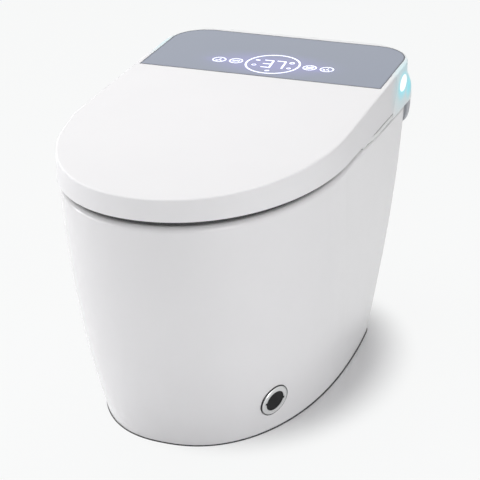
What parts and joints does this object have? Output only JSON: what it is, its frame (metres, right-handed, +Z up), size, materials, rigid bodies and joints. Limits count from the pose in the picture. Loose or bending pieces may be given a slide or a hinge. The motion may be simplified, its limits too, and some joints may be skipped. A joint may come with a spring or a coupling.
{
  "type": "smart toilet",
  "caption": "Floor-standing skirted toilet with a flat D-shaped lid, lifting seat, glass control panel, spray wands, dryer and foot sensor.",
  "frame": {"origin": "on the floor, under the middle of the overall box", "axes": "+Z up, the bowl's front faces -Y, +X is the right side as drawn, where the foot sensor is"},
  "size_m": [0.4054, 0.69, 0.4433],
  "materials": {
    "white_ceramic": "white glaze",
    "lid_white": "white, glossy",
    "seat_white": "white, glossy",
    "housing_white": "white, glossy",
    "grey_glass": "grey-backed glass",
    "light_lens": "pale cyan lens",
    "grey_plastic": "grey",
    "base_grey": "light grey",
    "dark_rubber": "black",
    "clear_rubber": "pale grey",
    "steel": "bright",
    "ring_steel": "satin",
    "brass_fitting": "plain",
    "black_lens": "black, glossy",
    "board_green": "green",
    "motor_metal": "grey",
    "gear_white": "natural",
    "filter_black": "black carbon"
  },
  "bodies": {
    "toilet": {"ceramic_body": "white_ceramic", "rear_housing": "housing_white", "seat_unit_base": "housing_white", "glass_panel": "grey_glass", "side_light_right": "light_lens", "side_light_left": "light_lens", "rear_cover": "grey_plastic", "hinge_saddles": "grey_plastic", "blower_case": "grey_plastic", "fan_frame": "grey_plastic", "wand_guide": "grey_plastic", "power_gland": "grey_plastic", "foot_sensor_body": "grey_plastic", "seat_soft_close": "grey_plastic", "lid_soft_close": "grey_plastic", "control_box": "base_grey", "water_heater": "base_grey", "inlet_valve": "base_grey", "foot_sensor_gasket": "dark_rubber", "outlet_seal": "dark_rubber", "hinge_shafts": "steel", "mounting_bolts": "steel", "foot_sensor_ring": "ring_steel", "water_inlet": "brass_fitting", "foot_sensor_lens": "black_lens", "display_board": "board_green", "blower_motor": "motor_metal", "wand_motor_rear": "motor_metal", "wand_motor_front": "motor_metal", "flush_pump": "motor_metal", "carbon_filter": "filter_black"},
    "seat": {"seat_ring": "seat_white", "seat_hinge_arms": "seat_white", "seat_bumpers": "clear_rubber"},
    "lid": {"lid": "lid_white", "lid_bumpers": "clear_rubber"},
    "wand_rear": {"wash_wand_rear": "steel", "nozzle_tip_rear": "gear_white"},
    "wand_front": {"wash_wand_front": "steel", "nozzle_tip_front": "gear_white"},
    "pinion_rear": {"wand_pinion_rear": "gear_white"},
    "pinion_front": {"wand_pinion_front": "gear_white"},
    "impeller": {"blower_impeller": "gear_white"},
    "flap": {"dryer_flap": "base_grey"},
    "fan": {"deodoriser_fan": "gear_white"}
  },
  "joints": [
    {"name": "seat_hinge", "type": "hinge", "parent": "toilet", "child": "seat", "pos_m": [0, 0.184, 0.418], "axis": [-1, 0, 0], "range_deg": [0, 95]},
    {"name": "lid_hinge", "type": "hinge", "parent": "seat", "child": "lid", "pos_m": [0, 0.184, 0.418], "axis": [1, 0, 0], "range_deg": [-95, 0]},
    {"name": "wand_rear_slide", "type": "slide", "parent": "toilet", "child": "wand_rear", "axis": [0, -0.9659, -0.2588], "range_m": [0, 0.11]},
    {"name": "wand_front_slide", "type": "slide", "parent": "toilet", "child": "wand_front", "axis": [0, -0.9659, -0.2588], "range_m": [0, 0.11]},
    {"name": "pinion_rear_spin", "type": "hinge", "parent": "toilet", "child": "pinion_rear", "pos_m": [0.013, 0.17066, 0.39334], "axis": [-1, 0, 0], "range_deg": [0, 850]},
    {"name": "pinion_front_spin", "type": "hinge", "parent": "toilet", "child": "pinion_front", "pos_m": [-0.013, 0.17066, 0.39334], "axis": [-1, 0, 0], "range_deg": [0, 850]},
    {"name": "impeller_spin", "type": "hinge", "parent": "toilet", "child": "impeller", "pos_m": [-0.112, 0.246, 0.395], "axis": [0, 0, 1], "continuous": true},
    {"name": "flap_hinge", "type": "hinge", "parent": "toilet", "child": "flap", "pos_m": [-0.124, 0.1431, 0.3789], "axis": [-1, 0, 0], "range_deg": [0, 55]},
    {"name": "fan_spin", "type": "hinge", "parent": "toilet", "child": "fan", "pos_m": [-0.184, 0.252, 0.401], "axis": [1, 0, 0], "continuous": true}
  ],
  "couplings": [
    {"joint": "pinion_rear_spin", "follows": "wand_rear_slide", "rad_per_m": 133.33},
    {"joint": "pinion_front_spin", "follows": "wand_front_slide", "rad_per_m": 133.33}
  ]
}
